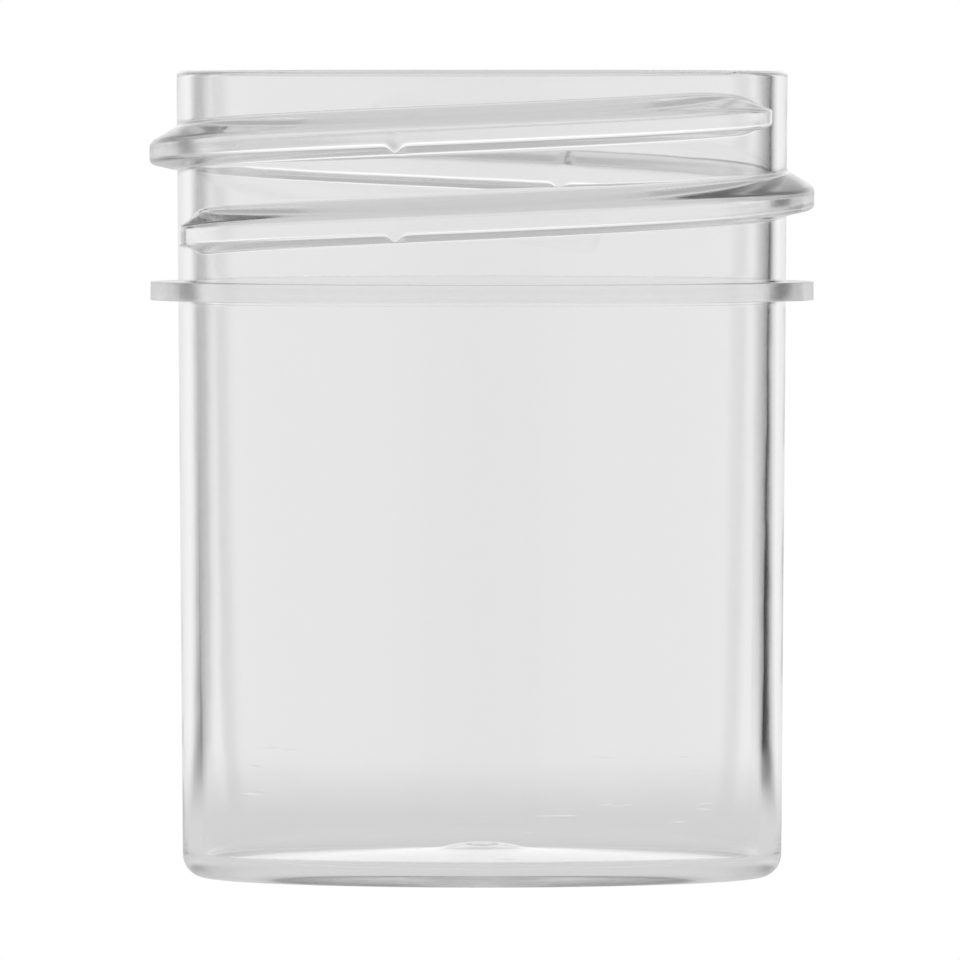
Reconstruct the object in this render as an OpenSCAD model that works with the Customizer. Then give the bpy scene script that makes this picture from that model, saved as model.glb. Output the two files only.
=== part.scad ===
// Small wide-mouth specimen jar, moulded in one piece of clear plastic.
// The origin is the centre of the circle that the jar stands on, with +Z up through the open mouth.
// The thread starts low down, in front at the left, and winds up to the right as a right-hand thread.

/* [Body] */
// Overall height, from the ring that the jar stands on to the rim
jar_height = 38.8; // [34:0.1:60]
// Outside diameter of the plain wall at the rim
rim_d = 29.4; // [27:0.1:30.6]
// Thickness of the side wall at the rim
wall = 0.8; // [0.7:0.05:1.2]
// Draft of the outside of the wall, in degrees a side
draft = 0.45; // [0.1:0.05:0.6]
// Draft of the inside of the wall, in degrees a side, which thickens it towards the base
core_draft = 0.7; // [0.6:0.05:0.9]
// Radius that rounds the two edges of the rim
rim_round = 0.3; // [0.1:0.05:0.3]

/* [Base] */
// Height of the inside floor where it meets the wall
floor_edge = 0.75; // [0.7:0.05:1.2]
// How much further the inside floor rises towards its centre
floor_rise = 0.7; // [0.6:0.05:0.9]
// Height of the hollow under the floor at its edge
hollow_edge = 0.15; // [0.1:0.05:0.25]
// How much further the hollow rises towards its centre
hollow_rise = 0.5; // [0.3:0.05:0.6]
// Outside radius of the heel, between the wall and the ring
heel_r = 1.1; // [0.9:0.05:1.4]
// Width of the flat ring that the jar stands on
ring_width = 0.5; // [0.3:0.1:0.8]
// Radius of the inside corner between the wall and the floor
corner_r = 0.5; // [0.3:0.05:0.8]
// Diameter of the dome at the gate, which stands up in the centre of the floor
gate_d = 4; // [3:0.1:5]
// Height of the dome, and depth of the dimple under it
gate_rise = 0.3; // [0.2:0.05:0.5]

/* [Transfer bead] */
// Diameter of the bead
bead_d = 31.9; // [31:0.1:32.2]
// Distance from the rim down to the bead's upper face
bead_drop = 10.15; // [9.9:0.05:10.6]
// Thickness of the bead
bead_thickness = 0.88; // [0.7:0.02:1.1]

/* [Thread] */
// Diameter over the thread
thread_d = 32; // [31.8:0.05:32.2]
// Pitch of the thread
thread_pitch = 4.233; // [4:0.001:4.4]
// Turns of the thread, from one end to the other
thread_turns = 1.382; // [1:0.001:1.5]
// Distance from the rim down to the middle of the thread, halfway along it
thread_drop = 4.85; // [4.8:0.05:5.4]
// Direction in which the lower end of the thread starts, in degrees from +X towards +Y
thread_start = 198; // [0:1:359]
// Width of the thread where it meets the wall
thread_width = 2.05; // [1.9:0.05:2.3]
// Slope of the upper flank, in degrees from level
upper_flank = 30; // [20:1:32]
// Slope of the lower flank, in degrees from level
lower_flank = 14.5; // [5:0.5:16]
// Radius of the crest's upper edge
crest_top_round = 0.5; // [0.2:0.05:0.5]
// Radius of the crest's lower edge
crest_bottom_round = 0.25; // [0.2:0.05:0.35]
// Angle that the lower end takes to rise out of the wall, in degrees
start_run = 10; // [5:0.5:20]
// Angle that the upper end takes to sink into the wall, in degrees
end_run = 10; // [5:0.5:20]
// Angle along which the thread's upper half tapers off at the upper end, in degrees
end_taper = 24; // [20:1:60]

/* [Hidden] */
$fn = 128;

arc_steps = 6;            // straight steps in each rounded corner of the outline
crest_steps = 4;          // and in each edge of the thread's crest
thread_step = 5;          // degrees between the sections of the thread
end_steps = 6;            // sections in each run-out
root_depth = 0.35;        // how far the thread's root is sunk into the wall
run_out_least = 0.16;     // size of the last section, which is inside the wall
end_width_least = 0.45;   // width of the thread at its very ends, as a part of its full width
upper_least = 0.3;        // width of its upper half at the upper end, as a part of its full width
upper_bend = 1.8;         // power that shapes that taper

// Outside and inside radius of the plain wall at height z
function outer_r(z) = rim_d / 2 - (jar_height - z) * tan(draft);
function inner_r(z) = rim_d / 2 - wall - (jar_height - z) * tan(core_draft);

// Points of an arc about [r, z], from one angle to another
function arc(r, z, radius, from, to, steps = arc_steps) =
    [for (i = [0:steps])
        let (a = from + (to - from) * i / steps) [r + radius * cos(a), z + radius * sin(a)]];

// Half-section of the jar without its thread, from the centre of the underside to the centre of the floor
gate_r = gate_d / 2;
dome_r = (pow(gate_r, 2) + pow(gate_rise, 2)) / (2 * gate_rise);
dome_angle = asin(gate_r / dome_r);
ring_outer_r = outer_r(heel_r) - heel_r;
ring_inner_r = ring_outer_r - ring_width;
hollow_r = ring_inner_r - hollow_edge;
under_gate = hollow_edge + hollow_rise * (1 - gate_r / hollow_r);
over_gate = floor_edge + floor_rise * (1 - gate_r / inner_r(floor_edge));
floor_slope = atan(floor_rise / inner_r(floor_edge));
corner_drop = corner_r * tan(45 - floor_slope / 2);
bead_top = jar_height - bead_drop;
bead_bottom = bead_top - bead_thickness;
outline = concat(
    arc(0, under_gate + gate_rise - dome_r, dome_r, 90, 90 - dome_angle),
    [[hollow_r, hollow_edge], [ring_inner_r, 0]],
    arc(ring_outer_r, heel_r, heel_r, -90, -draft),
    [[outer_r(bead_bottom), bead_bottom], [bead_d / 2, bead_bottom],
     [bead_d / 2, bead_top], [outer_r(bead_top), bead_top]],
    arc(outer_r(jar_height) - rim_round, jar_height - rim_round, rim_round, 0, 90),
    arc(inner_r(jar_height) + rim_round, jar_height - rim_round, rim_round, 90, 180),
    arc(inner_r(floor_edge) - corner_r, floor_edge + corner_drop, corner_r, 0, -90 - floor_slope),
    arc(0, over_gate + gate_rise - dome_r, dome_r, 90 - dome_angle, 90)
);

// Thread: one section, with u outwards from the wall and v up from the thread's middle
thread_depth = thread_d / 2 - outer_r(jar_height - thread_drop);
root_top = thread_width / 2;
root_bottom = -thread_width / 2;
crest_top = root_top - thread_depth * tan(upper_flank);
crest_bottom = root_bottom + thread_depth * tan(lower_flank);
top_round_v = crest_top - crest_top_round * tan(45 - upper_flank / 2);
bottom_round_v = crest_bottom + crest_bottom_round * tan(45 - lower_flank / 2);
section = concat(
    [[-root_depth, root_bottom]],
    arc(thread_depth - crest_bottom_round, bottom_round_v,
        crest_bottom_round, lower_flank - 90, 0, crest_steps),
    arc(thread_depth - crest_top_round, top_round_v,
        crest_top_round, 0, 90 - upper_flank, crest_steps),
    [[-root_depth, root_top]]
);

// Sections stand at even angles, and closer in each run-out, whose size follows a quarter of an ellipse
thread_angle = 360 * thread_turns;
even_steps = ceil((thread_angle - start_run - end_run) / thread_step);
function run_point(i) = 1 - cos(90 * i / end_steps);
stations = concat(
    [for (i = [0:end_steps - 1]) start_run * run_point(i)],
    [for (i = [0:even_steps]) start_run + (thread_angle - start_run - end_run) * i / even_steps],
    [for (i = [end_steps - 1:-1:0]) thread_angle - end_run * run_point(i)]
);
function section_size(a) =
    let (t = min(1, a / start_run, (thread_angle - a) / end_run))
    run_out_least + (1 - run_out_least) * sqrt(1 - pow(1 - t, 2));
function upper_width(a) =
    let (t = max(0, 1 - (thread_angle - a) / end_taper))
    1 - (1 - upper_least) * pow(t, upper_bend);

function thread_point(a, p) =
    let (
        size = section_size(a),
        width = end_width_least + (1 - end_width_least) * size,
        v = p[1] * width * (p[1] > 0 ? upper_width(a) : 1),
        u = (p[0] + root_depth) * size - root_depth,
        r = outer_r(jar_height - thread_drop) + u,
        z = jar_height - thread_drop + (a / 360 - thread_turns / 2) * thread_pitch + v
    )
    [r * cos(thread_start + a), r * sin(thread_start + a), z];

module thread_solid() {
    m = len(section);
    n = len(stations);
    polyhedron(
        points = [for (a = stations) for (p = section) thread_point(a, p)],
        faces = concat(
            [[for (j = [m - 1:-1:0]) j]],
            [for (i = [0:n - 2]) for (j = [0:m - 1])
                let (k = (j + 1) % m) [i * m + j, (i + 1) * m + k, (i + 1) * m + j]],
            [for (i = [0:n - 2]) for (j = [0:m - 1])
                let (k = (j + 1) % m) [i * m + j, i * m + k, (i + 1) * m + k]],
            [[for (j = [0:m - 1]) (n - 1) * m + j]]
        )
    );
}

module jar() {
    color([0.86, 0.88, 0.9, 0.5])
        union() {
            rotate_extrude() polygon(outline);
            thread_solid();
        }
}

jar();
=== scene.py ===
"""Clear specimen jar: one smooth closed mesh of the moulding, its clear plastic, and a bright studio."""

import math

import bmesh
import bpy
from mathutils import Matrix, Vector


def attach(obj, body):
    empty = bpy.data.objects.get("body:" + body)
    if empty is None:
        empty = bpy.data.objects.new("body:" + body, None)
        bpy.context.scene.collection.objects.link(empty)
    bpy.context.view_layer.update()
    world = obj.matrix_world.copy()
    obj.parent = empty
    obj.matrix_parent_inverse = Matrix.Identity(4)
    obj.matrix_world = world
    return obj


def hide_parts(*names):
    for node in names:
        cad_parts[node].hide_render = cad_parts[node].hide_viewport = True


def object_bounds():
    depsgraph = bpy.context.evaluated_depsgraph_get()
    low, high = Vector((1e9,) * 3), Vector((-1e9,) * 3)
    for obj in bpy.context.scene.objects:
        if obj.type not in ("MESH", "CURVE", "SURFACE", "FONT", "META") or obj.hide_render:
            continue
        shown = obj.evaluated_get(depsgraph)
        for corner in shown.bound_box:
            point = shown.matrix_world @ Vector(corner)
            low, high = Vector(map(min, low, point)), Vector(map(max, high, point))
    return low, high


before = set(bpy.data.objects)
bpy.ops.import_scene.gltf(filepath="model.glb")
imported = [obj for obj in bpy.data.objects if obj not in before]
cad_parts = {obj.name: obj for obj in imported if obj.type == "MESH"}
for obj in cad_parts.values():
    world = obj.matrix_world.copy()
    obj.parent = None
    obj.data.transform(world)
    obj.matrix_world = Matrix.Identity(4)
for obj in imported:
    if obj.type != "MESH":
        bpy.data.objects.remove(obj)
cad_low, cad_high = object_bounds()

MM = 0.001

# Sizes of the jar. The height and the diameter over the thread come from the frame.
JAR_HEIGHT = cad_high.z
THREAD_R = (cad_high.x - cad_low.x) / 2
RIM_R = 14.7 * MM
WALL = 0.8 * MM
DRAFT = math.tan(math.radians(0.45))
CORE_DRAFT = math.tan(math.radians(0.7))
RIM_ROUND = 0.3 * MM
HEEL_R = 1.1 * MM
RING_WIDTH = 0.5 * MM
HOLLOW_EDGE = 0.15 * MM
HOLLOW_RISE = 0.5 * MM
FLOOR_EDGE = 0.75 * MM
FLOOR_RISE = 0.7 * MM
CORNER_R = 0.5 * MM
GATE_R = 2.0 * MM
GATE_DEPTH = 0.3 * MM
NUB_R = 0.5 * MM
NUB_FOOT_R = 0.6 * MM
NUB_HEIGHT = 0.4 * MM
BEAD_R = 15.95 * MM
BEAD_TOP = JAR_HEIGHT - 10.15 * MM
BEAD_THICKNESS = 0.88 * MM
BEAD_ROUND = 0.03 * MM

# Thread: angles run along it, from +X towards +Y, and pass 360 degrees in front on the right
PITCH = 4.233 * MM
THREAD_START = math.radians(-162)
THREAD_END = math.radians(335.5)
THREAD_MIDDLE = (THREAD_START + THREAD_END) / 2
THREAD_MIDDLE_Z = JAR_HEIGHT - 4.85 * MM
THREAD_WIDTH = 2.05 * MM
UPPER_FLANK = math.radians(30)
LOWER_FLANK = math.radians(12.5)
CREST_TOP_ROUND = 0.5 * MM
CREST_BOTTOM_ROUND = 0.25 * MM
ROOT_TOP_ROUND = 0.3 * MM
ROOT_BOTTOM_ROUND = 0.12 * MM
# The thread rises out of the wall over the start run and sinks back over the end run, narrower there
START_RUN = math.radians(10)
END_RUN = math.radians(10)
RUN_NARROW = 0.45
RUN_MARGIN = 0.3
# Its upper half tapers off towards the upper end
END_TAPER = math.radians(24)
END_NARROW = 0.3
END_BEND = 1.8

# Parting line of the neck's two mould halves, where the lower flank is left almost level, and where
# the thread is shallower by a part of its depth
SEAM_ANGLE = math.radians(-105)
SEAM_HALF = math.radians(1.6)
SEAM_ROUND = 0.05 * MM
SEAM_FLANK = math.radians(1)
SEAM_DIP = 0.05
BEAD_NOTCH = 0.03 * MM

# Mesh: columns round the jar, extra ones at each feature, and the longest steps along its outlines
COLUMNS = 360
EXTRA_COLUMNS = 40
LEAST_GAP = 1e-4
ON_AXIS = 1e-9
SECTION_STEP = 0.15 * MM
BEAD_STEP = 0.4 * MM
WALL_STEP = 1.0 * MM
SNAP = 0.08 * MM
HEEL_STEPS = 48
DOME_STEPS = 16

PLASTIC_IOR = 1.59
# Finish: roughness of the polished body, at its clearest and its dullest, and of the duller parts
BODY_POLISH = (0.0, 0.035)
NECK_ROUGHNESS = 0.14
BASE_ROUGHNESS = 0.12
# Distances beyond the rim's radius between which the finish turns into that of the thread and bead
RAISED_EDGE = (0.02 * MM, 0.25 * MM)
# Light that the plastic lets through. The bead is set to let a little less through than the rest, so it
# shows darker.
BODY_CLEARNESS = 0.97
BEAD_CLEARNESS = 0.88
# Heights above the bead between which its plastic turns into that of the neck
BEAD_FADE = (0.1 * MM, 0.4 * MM)
# Faint waves of the moulded surface, and scuffs from handling, which are low down on the body's front
WAVE_DEPTH = 0.01 * MM
SCUFF_DEPTH = 0.004 * MM
SCUFF_TOP = 9 * MM
# How a scuff lies, and how much longer it is than it is thick
SCUFF_LIE = (math.radians(8), math.radians(-24), 0)
SCUFF_STRETCH = 11
# Values of the noise between which a scuff, and a scuffed patch, comes in
SCUFF_EDGE = (0.66, 0.72)
PATCH_EDGE = (0.5, 0.62)
# Distances in front of the jar's axis between which the scuffs come in
SCUFF_FRONT = (0.5 * RIM_R, 0.7 * RIM_R)
# Scales of the noise, in features for each metre
CLOUD_SCALE = 400
WAVE_SCALE = 180
SCUFF_SCALE = 260
PATCH_SCALE = 150


def outer_r(z):
    return RIM_R - (JAR_HEIGHT - z) * DRAFT


def inner_r(z):
    return RIM_R - WALL - (JAR_HEIGHT - z) * CORE_DRAFT


def fillet(before, corner, after, radius, steps=6):
    """Points of a round corner of that radius between two straight sides."""
    corner = Vector(corner)
    a = (Vector(before) - corner).normalized()
    b = (Vector(after) - corner).normalized()
    half = a.angle(b) / 2
    centre = corner + (a + b).normalized() * radius / math.sin(half)
    start = corner + a * radius / math.tan(half) - centre
    end = corner + b * radius / math.tan(half) - centre
    turn = math.atan2(start.cross(end), start.dot(end))
    points = []
    for i in range(steps + 1):
        angle = turn * i / steps
        c, s = math.cos(angle), math.sin(angle)
        points.append(centre + Vector((start.x * c - start.y * s, start.x * s + start.y * c)))
    return points


def rounded(points, radii, steps=6):
    """An open outline with each inner corner rounded by its radius, or left sharp at 0."""
    out = [Vector(points[0])]
    for i in range(1, len(points) - 1):
        if radii[i]:
            out += fillet(points[i - 1], points[i], points[i + 1], radii[i], steps)
        else:
            out.append(Vector(points[i]))
    out.append(Vector(points[-1]))
    return out


def split_long(points, longest):
    """The outline with extra points along each side that is longer than the longest step."""
    out = [points[0]]
    for a, b in zip(points, points[1:]):
        n = max(1, math.ceil((b - a).length / longest))
        out += [a.lerp(b, i / n) for i in range(1, n + 1)]
    return out


def thread_section(lower_flank, bottom_round):
    """The thread's section over one pitch, as (v, u): v up from its middle, u out from the wall."""
    depth = THREAD_R - outer_r(THREAD_MIDDLE_Z)
    half = THREAD_WIDTH / 2
    crest_top = half - depth * math.tan(UPPER_FLANK)
    crest_bottom = -half + depth * math.tan(lower_flank)
    points = [
        (-PITCH / 2, 0),
        (-half, 0),
        (crest_bottom, depth),
        (crest_top, depth),
        (half, 0),
        (PITCH / 2, 0),
    ]
    radii = [0, ROOT_BOTTOM_ROUND, bottom_round, CREST_TOP_ROUND, ROOT_TOP_ROUND, 0]
    return rounded(points, radii, steps=9)


def section_pairs():
    """Each point of the thread's section, away from the parting line and on it."""
    usual = thread_section(LOWER_FLANK, CREST_BOTTOM_ROUND)
    parting = thread_section(SEAM_FLANK, SEAM_ROUND)
    pairs = []
    for a, b, c, d in zip(usual, usual[1:], parting, parting[1:]):
        n = max(1, math.ceil((b - a).length / SECTION_STEP))
        pairs += [(a.lerp(b, i / n), c.lerp(d, i / n)) for i in range(n)]
    return pairs


def seam(angle):
    """How near an angle is to the parting line, from 0 to 1."""
    off = (angle - SEAM_ANGLE + math.pi / 2) % math.pi - math.pi / 2
    return math.exp(-((off / SEAM_HALF) ** 2) * 2)


def columns():
    """Angles of the mesh's columns, with closer ones at the thread's ends and the parting line."""
    angles = {round(math.tau * i / COLUMNS, 9) for i in range(COLUMNS)}
    for i in range(EXTRA_COLUMNS + 1):
        t = i / EXTRA_COLUMNS
        angles.add(round((THREAD_START + START_RUN * t * t) % math.tau, 9))
        angles.add(round((THREAD_END - END_RUN * t * t) % math.tau, 9))
        for side in (0, math.pi):
            angles.add(round((SEAM_ANGLE + side + SEAM_HALF * (4 * t - 2)) % math.tau, 9))
    spaced = []
    for a in sorted(angles):
        if not spaced or a - spaced[-1] > LEAST_GAP:
            spaced.append(a)
    return spaced


ANGLES = columns()


def thread_size(angle):
    """How deep the thread is at an angle along it, from 0 to 1."""
    t = min(1, (angle - THREAD_START) / START_RUN, (THREAD_END - angle) / END_RUN)
    return math.sqrt(max(0, 1 - (1 - t) ** 2)) if t > 0 else 0


def upper_size(angle):
    """How wide the thread's upper half is: it tapers off towards the upper end."""
    t = 1 - abs(angle - THREAD_END) / END_TAPER
    return 1 - (1 - END_NARROW) * max(0, t) ** END_BEND


def ring(bm, r, z):
    """A ring of vertices. The parting line leaves a slight notch in the bead."""
    notch = BEAD_NOTCH if r > outer_r(z) + MM else 0
    verts = []
    for a in ANGLES:
        reach = r - notch * seam(a)
        verts.append(bm.verts.new((reach * math.cos(a), reach * math.sin(a), z)))
    return verts


def bridge(bm, below, above):
    n = len(below)
    for i in range(n):
        k = (i + 1) % n
        bm.faces.new((below[i], below[k], above[k], above[i]))


def lathe(bm, points):
    """Rings through the points, joined by faces. A point on the axis is a single vertex."""
    rings = [ring(bm, r, z) if r > ON_AXIS else bm.verts.new((0, 0, z)) for r, z in points]
    for a, b in zip(rings, rings[1:]):
        if isinstance(a, list) and isinstance(b, list):
            bridge(bm, a, b)
            continue
        hub, rim, flip = (a, b, False) if isinstance(b, list) else (b, a, True)
        for i in range(len(rim)):
            k = (i + 1) % len(rim)
            bm.faces.new((rim[i], rim[k], hub) if flip else (hub, rim[k], rim[i]))
    return rings


def threaded_neck(bm, bottom, top, low, high):
    """The wall between two rings, with rows that follow the thread's helix."""
    section = section_pairs()
    rows = len(section)
    half = THREAD_WIDTH / 2
    turns = range(-2, 3)
    grid = []
    for i, angle in enumerate(ANGLES):
        column = {}
        for turn in turns:
            along = angle + math.tau * turn
            size = thread_size(along)
            on_thread = THREAD_START - RUN_MARGIN < along < THREAD_END + RUN_MARGIN
            run = RUN_NARROW + (1 - RUN_NARROW) * size if on_thread else 1
            near = seam(angle) * size
            for k, (usual, parting) in enumerate(section):
                v, u = usual.lerp(parting, near)
                edge = half * run * (upper_size(along) if v > 0 else 1)
                if abs(v) <= half:
                    v *= edge / half
                else:
                    spread = (PITCH / 2 - edge) / (PITCH / 2 - half)
                    v = math.copysign(edge + (abs(v) - half) * spread, v)
                z = THREAD_MIDDLE_Z + (along - THREAD_MIDDLE) / math.tau * PITCH + v
                if z <= low + SNAP:
                    vert = bottom[i]
                elif z >= high - SNAP:
                    vert = top[i]
                else:
                    r = outer_r(z) + u * size * (1 - near * SEAM_DIP)
                    vert = bm.verts.new((r * math.cos(angle), r * math.sin(angle), z))
                column[turn * rows + k] = vert
        grid.append(column)
    n = len(ANGLES)
    for i in range(n):
        here, there = grid[i], grid[(i + 1) % n]
        shift = rows if i == n - 1 else 0
        for j in range(turns[0] * rows, (turns[-1] + 1) * rows - 1):
            near = (here[j], here[j + 1])
            far = tuple(
                there.get(q, (bottom if q < 0 else top)[(i + 1) % n])
                for q in (j + shift, j + shift + 1)
            )
            corners = []
            for vert in (near[0], far[0], far[1], near[1]):
                if vert not in corners:
                    corners.append(vert)
            if len(corners) > 2:
                bm.faces.new(corners)


def gate_dome(z):
    """Points of the shallow dome at the gate, from its centre out to its edge at height z."""
    radius = (GATE_R**2 + GATE_DEPTH**2) / (2 * GATE_DEPTH)
    angle = math.asin(GATE_R / radius)
    return [
        Vector((radius * math.sin(a), z + GATE_DEPTH - radius + radius * math.cos(a)))
        for a in (angle * i / DOME_STEPS for i in range(DOME_STEPS + 1))
    ]


def jar_mesh():
    """The whole moulding as one closed surface."""
    bm = bmesh.new()
    ring_outer = outer_r(HEEL_R) - HEEL_R
    ring_inner = ring_outer - RING_WIDTH
    hollow_r = ring_inner - HOLLOW_EDGE
    bead_bottom = BEAD_TOP - BEAD_THICKNESS
    hollow_z = HOLLOW_EDGE + HOLLOW_RISE * (1 - GATE_R / hollow_r)
    nub_z = hollow_z + GATE_DEPTH - NUB_HEIGHT
    nub = rounded([(0, nub_z), (NUB_R, nub_z), (NUB_FOOT_R, nub_z + NUB_HEIGHT)], [0, NUB_R / 4, 0])
    underside = nub[:-1] + [p for p in gate_dome(hollow_z) if p.x > NUB_FOOT_R] + [
        Vector((hollow_r, HOLLOW_EDGE)),
        Vector((ring_inner, 0)),
        Vector((ring_outer, 0)),
    ]
    heel = [
        Vector((ring_outer + HEEL_R * math.sin(a), HEEL_R - HEEL_R * math.cos(a)))
        for a in (math.pi / 2 * i / HEEL_STEPS for i in range(1, HEEL_STEPS + 1))
    ]
    low = bead_bottom - 0.4 * MM
    neck_low = BEAD_TOP + 0.15 * MM
    neck_high = JAR_HEIGHT - RIM_ROUND
    bead = rounded(
        [
            (outer_r(low), low),
            (outer_r(bead_bottom), bead_bottom),
            (BEAD_R, bead_bottom),
            (BEAD_R, BEAD_TOP),
            (outer_r(BEAD_TOP), BEAD_TOP),
            (outer_r(neck_low), neck_low),
        ],
        [0, BEAD_ROUND, BEAD_ROUND, BEAD_ROUND, BEAD_ROUND, 0],
        steps=8,
    )
    body = split_long(underside + heel + [Vector((outer_r(low), low))], WALL_STEP)
    outside = body[:-1] + split_long(bead, BEAD_STEP)
    # A little less than the full radius, so that the round ends short of the outline's own points
    rim_round = RIM_ROUND * 0.98
    rim = rounded(
        [
            (outer_r(neck_high), neck_high),
            (outer_r(JAR_HEIGHT), JAR_HEIGHT),
            (inner_r(JAR_HEIGHT), JAR_HEIGHT),
            (inner_r(neck_high), neck_high),
        ],
        [0, rim_round, rim_round, 0],
        steps=10,
    )
    boss_z = FLOOR_EDGE + FLOOR_RISE * (1 - GATE_R / inner_r(FLOOR_EDGE))
    inside = rounded(
        [
            (inner_r(neck_high), neck_high),
            (inner_r(FLOOR_EDGE), FLOOR_EDGE),
            (GATE_R, boss_z),
        ],
        [0, CORNER_R, 0],
        steps=16,
    ) + gate_dome(boss_z)[-2::-1]
    lower = lathe(bm, outside)
    upper = lathe(bm, split_long(rim[:-1] + inside, WALL_STEP))
    threaded_neck(bm, lower[-1], upper[0], neck_low, neck_high)
    bmesh.ops.recalc_face_normals(bm, faces=bm.faces)
    for f in bm.faces:
        f.smooth = True
    mesh = bpy.data.meshes.new("jar_moulding")
    bm.to_mesh(mesh)
    bm.free()
    return mesh


def wired(tree, node, *inputs):
    """Sets a node's inputs in order: a socket is linked, and a number is set."""
    for slot, value in zip(node.inputs, inputs):
        if isinstance(value, bpy.types.NodeSocket):
            tree.links.new(value, slot)
        else:
            slot.default_value = value
    return node.outputs[0]


def math_node(tree, operation, *inputs):
    node = tree.nodes.new("ShaderNodeMath")
    node.operation = operation
    return wired(tree, node, *inputs)


def ease(tree, value, start, end):
    """0 up to the start, 1 from the end on, and smooth between them."""
    node = tree.nodes.new("ShaderNodeMapRange")
    node.interpolation_type = "SMOOTHSTEP"
    return wired(tree, node, value, start, end, 0, 1)


def blend(tree, factor, a, b):
    """A number a that turns into b as the factor goes from 0 to 1."""
    return math_node(tree, "MULTIPLY_ADD", factor, math_node(tree, "SUBTRACT", b, a), a)


def noise(tree, place, scale, detail):
    texture = tree.nodes.new("ShaderNodeTexNoise")
    texture.inputs["Scale"].default_value = scale
    texture.inputs["Detail"].default_value = detail
    tree.links.new(place, texture.inputs["Vector"])
    return texture.outputs["Fac"]


def clear_plastic():
    """Clear polystyrene, polished on the body and a little duller on the thread, bead and underside."""
    material = bpy.data.materials.new("clear_polystyrene")
    material.use_nodes = True
    tree = material.node_tree
    shader = tree.nodes["Principled BSDF"]
    shader.inputs["IOR"].default_value = PLASTIC_IOR
    shader.inputs["Transmission Weight"].default_value = 1.0
    shader.distribution = "GGX"

    place = tree.nodes.new("ShaderNodeTexCoord").outputs["Object"]
    split = tree.nodes.new("ShaderNodeSeparateXYZ")
    tree.links.new(place, split.inputs[0])
    x, y, z = split.outputs
    radius = math_node(
        tree, "SQRT", math_node(tree, "MULTIPLY_ADD", x, x, math_node(tree, "MULTIPLY", y, y))
    )
    raised = ease(tree, radius, *(RIM_R + edge for edge in RAISED_EDGE))
    under_thread = ease(tree, z, BEAD_TOP + BEAD_FADE[1], BEAD_TOP + BEAD_FADE[0])
    bead = math_node(tree, "MULTIPLY", raised, under_thread)
    tree.links.new(blend(tree, bead, BODY_CLEARNESS, BEAD_CLEARNESS), shader.inputs["Base Color"])
    cloud = noise(tree, place, CLOUD_SCALE, detail=4)
    polish = blend(tree, cloud, *BODY_POLISH)
    under = ease(tree, z, FLOOR_EDGE, FLOOR_EDGE / 2)
    roughness = blend(tree, under, blend(tree, raised, polish, NECK_ROUGHNESS), BASE_ROUGHNESS)
    tree.links.new(roughness, shader.inputs["Roughness"])

    lay = tree.nodes.new("ShaderNodeMapping")
    lay.inputs["Rotation"].default_value = SCUFF_LIE
    lay.inputs["Scale"].default_value = (1, 1, SCUFF_STRETCH)
    tree.links.new(place, lay.inputs["Vector"])
    scuff = ease(tree, noise(tree, lay.outputs["Vector"], SCUFF_SCALE, detail=2), *SCUFF_EDGE)
    patch = ease(tree, noise(tree, place, PATCH_SCALE, detail=1), *PATCH_EDGE)
    low = ease(tree, z, SCUFF_TOP, SCUFF_TOP / 3)
    front = ease(tree, y, -SCUFF_FRONT[0], -SCUFF_FRONT[1])
    for limit in (patch, low, front):
        scuff = math_node(tree, "MULTIPLY", scuff, limit)
    waves = noise(tree, place, WAVE_SCALE, detail=2)
    wave = math_node(tree, "MULTIPLY", waves, WAVE_DEPTH / SCUFF_DEPTH)
    bump = tree.nodes.new("ShaderNodeBump")
    bump.inputs["Distance"].default_value = SCUFF_DEPTH
    tree.links.new(math_node(tree, "ADD", wave, scuff), bump.inputs["Height"])
    tree.links.new(bump.outputs["Normal"], shader.inputs["Normal"])
    return material


jar = bpy.data.objects.new("jar_moulding", jar_mesh())
bpy.context.scene.collection.objects.link(jar)
jar.data.materials.append(clear_plastic())
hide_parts("jar")
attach(jar, "root")

# Camera: about level with the rim, far off, aimed at the middle of the jar
SENSOR_WIDTH = 36
CAMERA_DISTANCE = 1.03
CAMERA_HEIGHT = JAR_HEIGHT + 2.5 * MM
AIM = Vector((-0.1 * MM, 0, 19.09 * MM))
FRAME_WIDTH = 46.2 * MM

camera_data = bpy.data.cameras.new("camera")
camera = bpy.data.objects.new("camera", camera_data)
bpy.context.scene.collection.objects.link(camera)
camera.location = (AIM.x, -CAMERA_DISTANCE, CAMERA_HEIGHT)
look = AIM - camera.location
camera.rotation_euler = look.to_track_quat("-Z", "Y").to_euler()
camera_data.sensor_width = SENSOR_WIDTH
camera_data.lens = SENSOR_WIDTH * look.length / FRAME_WIDTH
camera_data.clip_start = 0.01
camera_data.clip_end = 20
bpy.context.scene.camera = camera

# Studio: the jar stands in a pale light tent, and the camera sees only a plain white floor and surround.
# Brightness of the lit sheet behind the jar, in its middle and at its edges, of the dark flags on each
# side of it, and of the tent's sides and front
BACK = 0.82
BACK_EDGE = 0.94
LEFT_FLAG = 0.2
RIGHT_FLAG = 0.0
SIDES = 0.92
FRONT = 0.8
# The same sheet and sides just above eye level, and further up
LOW_BACK = 1.2
MIDDLE_BACK = 0.9
MIDDLE_SIDES = 0.45
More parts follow.
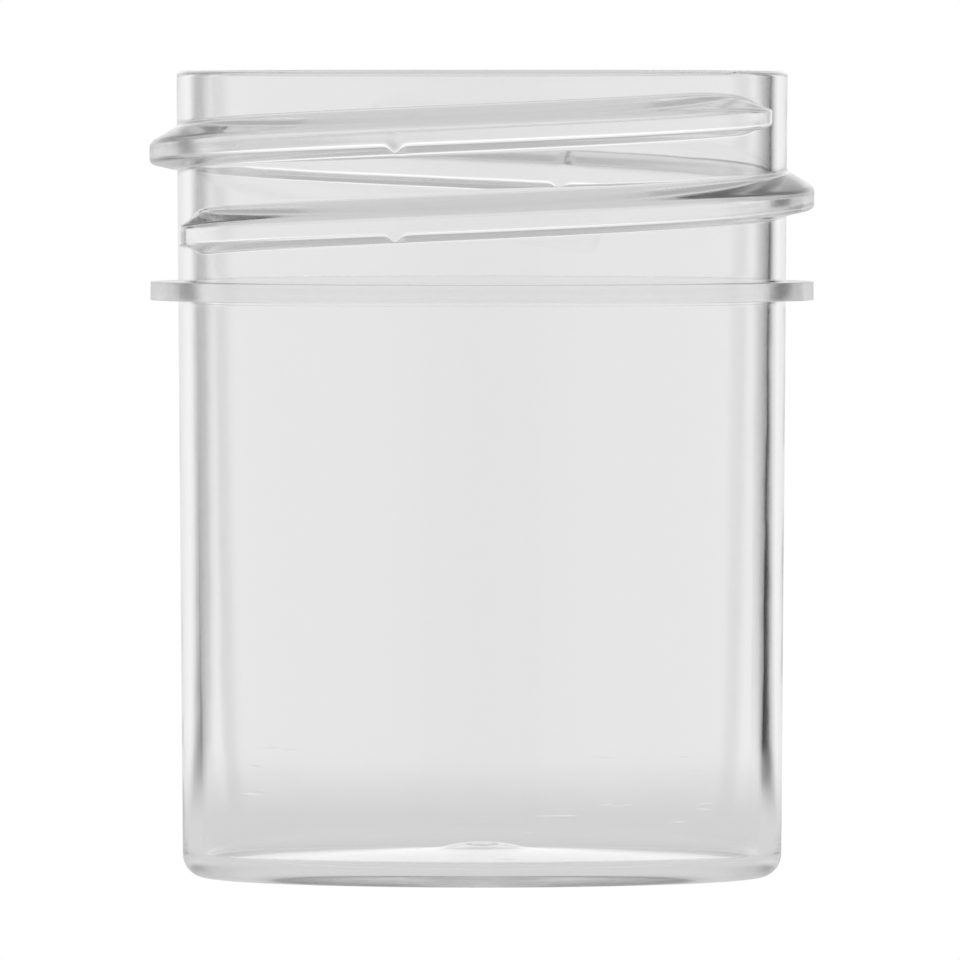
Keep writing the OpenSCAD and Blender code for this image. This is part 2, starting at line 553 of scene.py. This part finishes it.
# Each level is a brightness by direction, in degrees to the right of straight behind the jar
EYE_LEVEL = (
    (-180, FRONT), (-130, SIDES), (-56, SIDES), (-47, LEFT_FLAG), (-41, LEFT_FLAG), (-30, BACK_EDGE),
    (-10, BACK), (10, BACK),
    (28, BACK_EDGE), (36, RIGHT_FLAG), (42, RIGHT_FLAG), (54, SIDES), (130, SIDES), (180, FRONT),
)
LOW = ((-180, FRONT), (-50, FRONT), (-20, LOW_BACK), (20, LOW_BACK), (40, FRONT), (180, FRONT))
MIDDLE = (
    (-180, MIDDLE_SIDES), (-40, MIDDLE_SIDES), (-12, MIDDLE_BACK),
    (12, MIDDLE_BACK), (42, MIDDLE_SIDES), (180, MIDDLE_SIDES),
)
HIGH = 0.46
# Brightness of the tent floor near the jar, lowered there as a painted shadow of the jar
PAINTED_SHADOW_LEVEL = 0.68
# Heights, in degrees above the floor, between which each level turns into the next
LOW_SPAN = (0.5, 5)
MIDDLE_SPAN = (8, 17)
HIGH_SPAN = (22, 40)
# Distances between which the painted shadow of the jar on the tent floor fades into the floor far off
PAINTED_SHADOW_R, PAINTED_SHADOW_END_R = 0.06, 0.15
# Radius of the sheet under the tent, and of the white floor and surround, which take in the camera too
TENT_R = 9.0
SURROUND_R = 1.45
# Gap between the jar's base and the floor
FLOOR_GAP = 0.01 * MM


def by_direction(tree, direction, levels):
    """A brightness that goes by direction, through stops in degrees from straight behind the jar."""
    ramp = tree.nodes.new("ShaderNodeValToRGB")
    ramp.color_ramp.interpolation = "EASE"
    elements = ramp.color_ramp.elements
    while len(elements) < len(levels):
        elements.new(0.5)
    for element, (degrees, level) in zip(elements, levels):
        element.position = degrees / 360 + 0.5
        element.color = (level, level, level, 1)
    split = tree.nodes.new("ShaderNodeSeparateXYZ")
    tree.links.new(direction, split.inputs[0])
    angle = math_node(tree, "ARCTAN2", split.outputs["X"], split.outputs["Y"])
    return wired(tree, ramp, math_node(tree, "MULTIPLY_ADD", angle, 1 / math.tau, 0.5))


def tent_world():
    """The tent's walls and roof, as light from far off that the jar refracts and reflects."""
    world = bpy.data.worlds.new("light_tent")
    world.use_nodes = True
    tree = world.node_tree
    direction = tree.nodes.new("ShaderNodeTexCoord").outputs["Generated"]
    split = tree.nodes.new("ShaderNodeSeparateXYZ")
    tree.links.new(direction, split.inputs[0])
    level = by_direction(tree, direction, EYE_LEVEL)
    for next_level, span in (
        (by_direction(tree, direction, LOW), LOW_SPAN),
        (by_direction(tree, direction, MIDDLE), MIDDLE_SPAN),
        (HIGH, HIGH_SPAN),
    ):
        above = ease(tree, split.outputs["Z"], *(math.sin(math.radians(degrees)) for degrees in span))
        level = blend(tree, above, level, next_level)
    tree.links.new(level, tree.nodes["Background"].inputs["Strength"])
    tree.nodes["Background"].inputs["Color"].default_value = (1, 1, 1, 1)
    world.cycles.sampling_method = "NONE"
    return world


def glow(name):
    """A surface that only gives off light."""
    material = bpy.data.materials.new(name)
    material.use_nodes = True
    tree = material.node_tree
    tree.nodes.remove(tree.nodes["Principled BSDF"])
    emission = tree.nodes.new("ShaderNodeEmission")
    emission.inputs["Strength"].default_value = 1.0
    tree.links.new(emission.outputs["Emission"], tree.nodes["Material Output"].inputs["Surface"])
    material.cycles.emission_sampling = "NONE"
    return material, tree, emission


def stage_piece(name, bm, material, seen, z=0.0):
    """A piece of the stage, which only the camera's own rays or only the jar's meet."""
    mesh = bpy.data.meshes.new(name)
    bm.to_mesh(mesh)
    bm.free()
    mesh.materials.append(material)
    ob = bpy.data.objects.new(name, mesh)
    ob.location.z = z
    bpy.context.scene.collection.objects.link(ob)
    ob.visible_camera = seen == "camera"
    for kind in ("diffuse", "glossy", "transmission", "volume_scatter"):
        setattr(ob, "visible_" + kind, seen == "jar")
    ob.visible_shadow = False


def disc(radius):
    bm = bmesh.new()
    bmesh.ops.create_circle(bm, cap_ends=True, segments=96, radius=radius)
    return bm


def half_sphere(radius):
    bm = bmesh.new()
    bmesh.ops.create_uvsphere(bm, u_segments=48, v_segments=24, radius=radius)
    bmesh.ops.delete(bm, geom=[v for v in bm.verts if v.co.z < -MM], context="VERTS")
    return bm


bpy.context.scene.world = tent_world()

white = glow("white_paper")[0]
stage_piece("floor", disc(SURROUND_R), white, "camera", -FLOOR_GAP)
stage_piece("surround", half_sphere(SURROUND_R), white, "camera")

tent, tree, emission = glow("tent_floor")
position = tree.nodes.new("ShaderNodeTexCoord").outputs["Object"]
length = tree.nodes.new("ShaderNodeVectorMath")
length.operation = "LENGTH"
tree.links.new(position, length.inputs[0])
# Painted shadow of the jar: the tent floor is dimmer near the jar and brightens further off
out_of_painted_shadow = ease(tree, length.outputs["Value"], PAINTED_SHADOW_R, PAINTED_SHADOW_END_R)
level = blend(tree, out_of_painted_shadow, PAINTED_SHADOW_LEVEL, by_direction(tree, position, EYE_LEVEL))
tree.links.new(level, emission.inputs["Strength"])
stage_piece("tent_floor", disc(TENT_R), tent, "jar", -FLOOR_GAP)

scene = bpy.context.scene
scene.view_settings.view_transform = "Standard"
scene.cycles.max_bounces = 48
scene.cycles.glossy_bounces = 32
scene.cycles.transmission_bounces = 32
